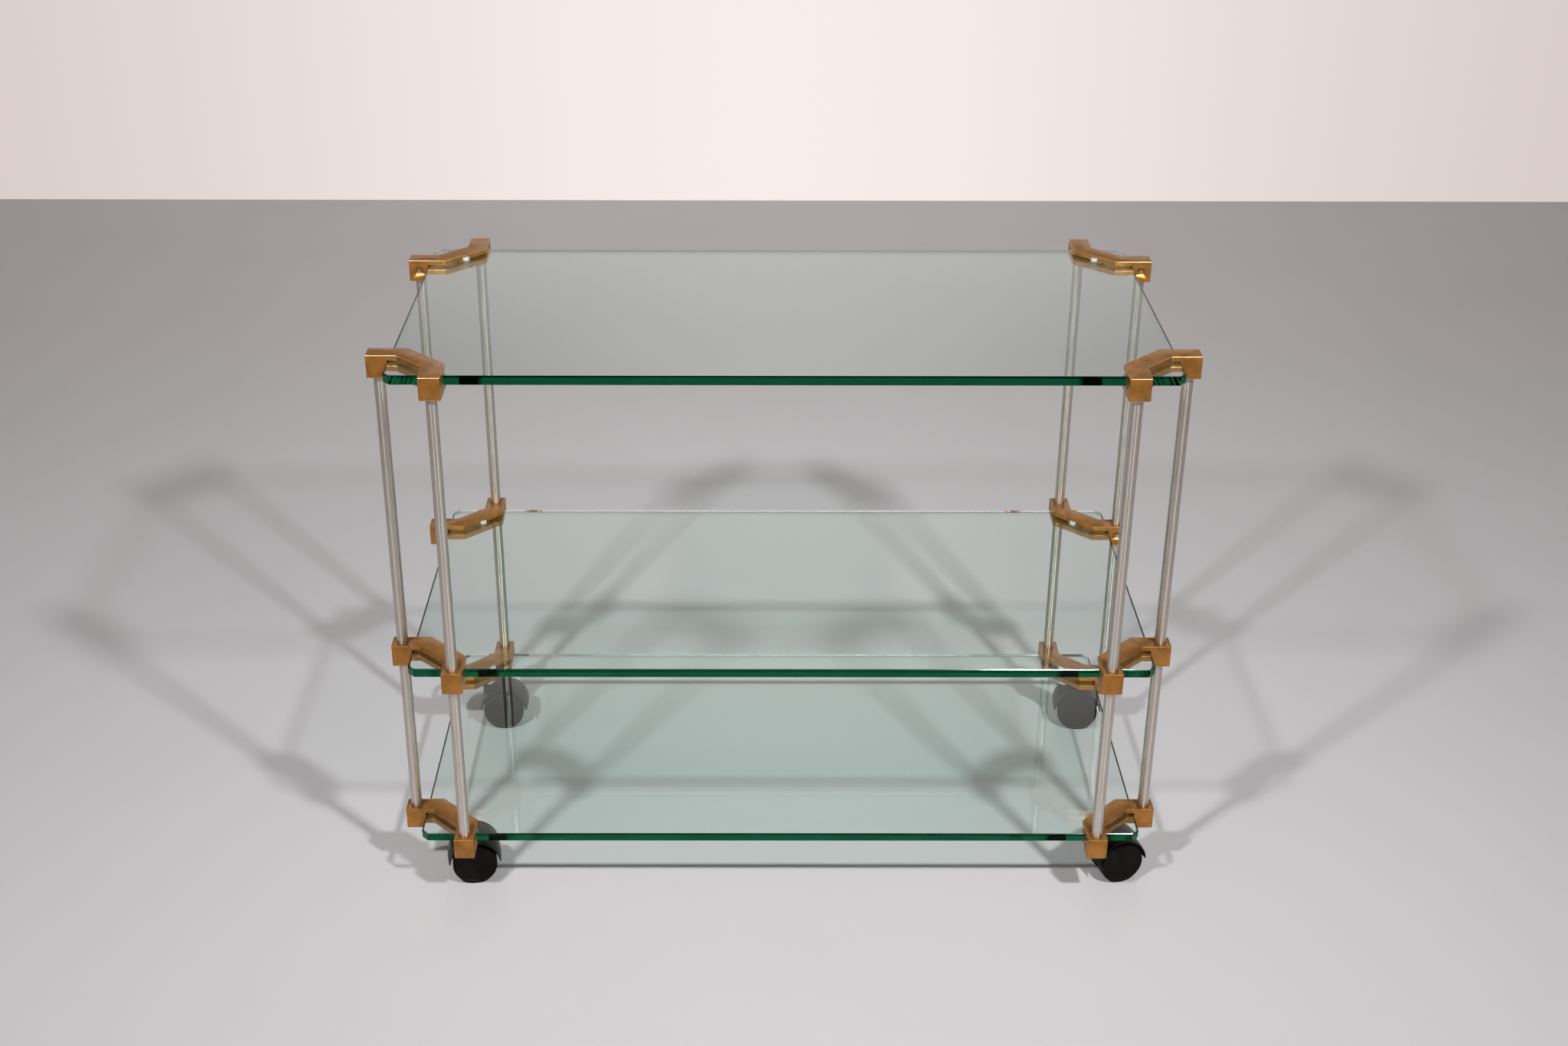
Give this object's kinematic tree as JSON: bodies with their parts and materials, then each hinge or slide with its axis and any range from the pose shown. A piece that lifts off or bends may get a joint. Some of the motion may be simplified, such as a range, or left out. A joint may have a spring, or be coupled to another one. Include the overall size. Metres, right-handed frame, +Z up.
{
  "type": "serving trolley",
  "caption": "Rectangular serving trolley: clear glass shelves held by bent brass corner brackets on slim steel rods, rolling on hooded black twin-wheel swivel casters.",
  "frame": {"origin": "on the floor, under the middle of the trolley", "axes": "+X along the long side to the right, +Y from the front to the back, +Z up"},
  "size_m": [0.8446, 0.4444, 0.63],
  "materials": {
    "shelf_glass": "clear float glass with a green edge, polished faces and ground arrises",
    "bracket_brass": "satin aged brass, worn bright along the edges",
    "rod_steel": "satin brushed steel",
    "clear_pad": "clear soft plastic",
    "zinc_steel": "bright zinc-plated steel",
    "caster_black": "moulded black plastic, satin gloss",
    "wheel_black": "moulded black plastic, fine grained"
  },
  "bodies": {
    "frame": {"top_shelf": "shelf_glass", "middle_shelf": "shelf_glass", "bottom_shelf": "shelf_glass", "top_front_left_bracket": "bracket_brass", "top_front_right_bracket": "bracket_brass", "top_back_left_bracket": "bracket_brass", "top_back_right_bracket": "bracket_brass", "middle_front_left_bracket": "bracket_brass", "middle_front_right_bracket": "bracket_brass", "middle_back_left_bracket": "bracket_brass", "middle_back_right_bracket": "bracket_brass", "bottom_front_left_bracket": "bracket_brass", "bottom_front_right_bracket": "bracket_brass", "bottom_back_left_bracket": "bracket_brass", "bottom_back_right_bracket": "bracket_brass", "front_left_side_rod": "rod_steel", "front_left_front_rod": "rod_steel", "front_right_side_rod": "rod_steel", "front_right_front_rod": "rod_steel", "back_left_side_rod": "rod_steel", "back_left_back_rod": "rod_steel", "back_right_side_rod": "rod_steel", "back_right_back_rod": "rod_steel", "top_front_left_pad": "clear_pad", "top_front_right_pad": "clear_pad", "top_back_left_pad": "clear_pad", "top_back_right_pad": "clear_pad", "middle_front_left_pad": "clear_pad", "middle_front_right_pad": "clear_pad", "middle_back_left_pad": "clear_pad", "middle_back_right_pad": "clear_pad", "bottom_front_left_pad": "clear_pad", "bottom_front_right_pad": "clear_pad", "bottom_back_left_pad": "clear_pad", "bottom_back_right_pad": "clear_pad", "top_clamp_screws": "zinc_steel", "middle_clamp_screws": "zinc_steel", "rod_grub_screws": "zinc_steel", "caster_snap_rings": "zinc_steel", "front_left_caster_stem": "zinc_steel", "front_right_caster_stem": "zinc_steel", "back_left_caster_stem": "zinc_steel", "back_right_caster_stem": "zinc_steel"},
    "front_left_caster": {"front_left_caster_hood": "caster_black", "front_left_caster_axle": "zinc_steel"},
    "front_left_near_wheel": {"front_left_near_wheel": "wheel_black"},
    "front_left_far_wheel": {"front_left_far_wheel": "wheel_black"},
    "front_right_caster": {"front_right_caster_hood": "caster_black", "front_right_caster_axle": "zinc_steel"},
    "front_right_near_wheel": {"front_right_near_wheel": "wheel_black"},
    "front_right_far_wheel": {"front_right_far_wheel": "wheel_black"},
    "back_left_caster": {"back_left_caster_hood": "caster_black", "back_left_caster_axle": "zinc_steel"},
    "back_left_near_wheel": {"back_left_near_wheel": "wheel_black"},
    "back_left_far_wheel": {"back_left_far_wheel": "wheel_black"},
    "back_right_caster": {"back_right_caster_hood": "caster_black", "back_right_caster_axle": "zinc_steel"},
    "back_right_near_wheel": {"back_right_near_wheel": "wheel_black"},
    "back_right_far_wheel": {"back_right_far_wheel": "wheel_black"}
  },
  "joints": [
    {"name": "front_left_swivel", "type": "hinge", "parent": "frame", "child": "front_left_caster", "pos_m": [-0.366, -0.166, 0.055], "axis": [0, 0, 1], "continuous": true},
    {"name": "front_left_near_wheel_spin", "type": "hinge", "parent": "front_left_caster", "child": "front_left_near_wheel", "pos_m": [-0.34822, -0.16318, 0.025], "axis": [-0.1564, 0.9877, 0], "continuous": true},
    {"name": "front_left_far_wheel_spin", "type": "hinge", "parent": "front_left_caster", "child": "front_left_far_wheel", "pos_m": [-0.34822, -0.16318, 0.025], "axis": [-0.1564, 0.9877, 0], "continuous": true},
    {"name": "front_right_swivel", "type": "hinge", "parent": "frame", "child": "front_right_caster", "pos_m": [0.366, -0.166, 0.055], "axis": [0, 0, 1], "continuous": true},
    {"name": "front_right_near_wheel_spin", "type": "hinge", "parent": "front_right_caster", "child": "front_right_near_wheel", "pos_m": [0.38321, -0.16074, 0.025], "axis": [-0.2924, 0.9563, 0], "continuous": true},
    {"name": "front_right_far_wheel_spin", "type": "hinge", "parent": "front_right_caster", "child": "front_right_far_wheel", "pos_m": [0.38321, -0.16074, 0.025], "axis": [-0.2924, 0.9563, 0], "continuous": true},
    {"name": "back_left_swivel", "type": "hinge", "parent": "frame", "child": "back_left_caster", "pos_m": [-0.366, 0.166, 0.055], "axis": [0, 0, 1], "continuous": true},
    {"name": "back_left_near_wheel_spin", "type": "hinge", "parent": "back_left_caster", "child": "back_left_near_wheel", "pos_m": [-0.348, 0.16631, 0.025], "axis": [-0.0175, 0.9998, 0], "continuous": true},
    {"name": "back_left_far_wheel_spin", "type": "hinge", "parent": "back_left_caster", "child": "back_left_far_wheel", "pos_m": [-0.348, 0.16631, 0.025], "axis": [-0.0175, 0.9998, 0], "continuous": true},
    {"name": "back_right_swivel", "type": "hinge", "parent": "frame", "child": "back_right_caster", "pos_m": [0.366, 0.166, 0.055], "axis": [0, 0, 1], "continuous": true},
    {"name": "back_right_near_wheel_spin", "type": "hinge", "parent": "back_right_caster", "child": "back_right_near_wheel", "pos_m": [0.38396, 0.16474, 0.025], "axis": [0.0698, 0.9976, 0], "continuous": true},
    {"name": "back_right_far_wheel_spin", "type": "hinge", "parent": "back_right_caster", "child": "back_right_far_wheel", "pos_m": [0.38396, 0.16474, 0.025], "axis": [0.0698, 0.9976, 0], "continuous": true}
  ]
}
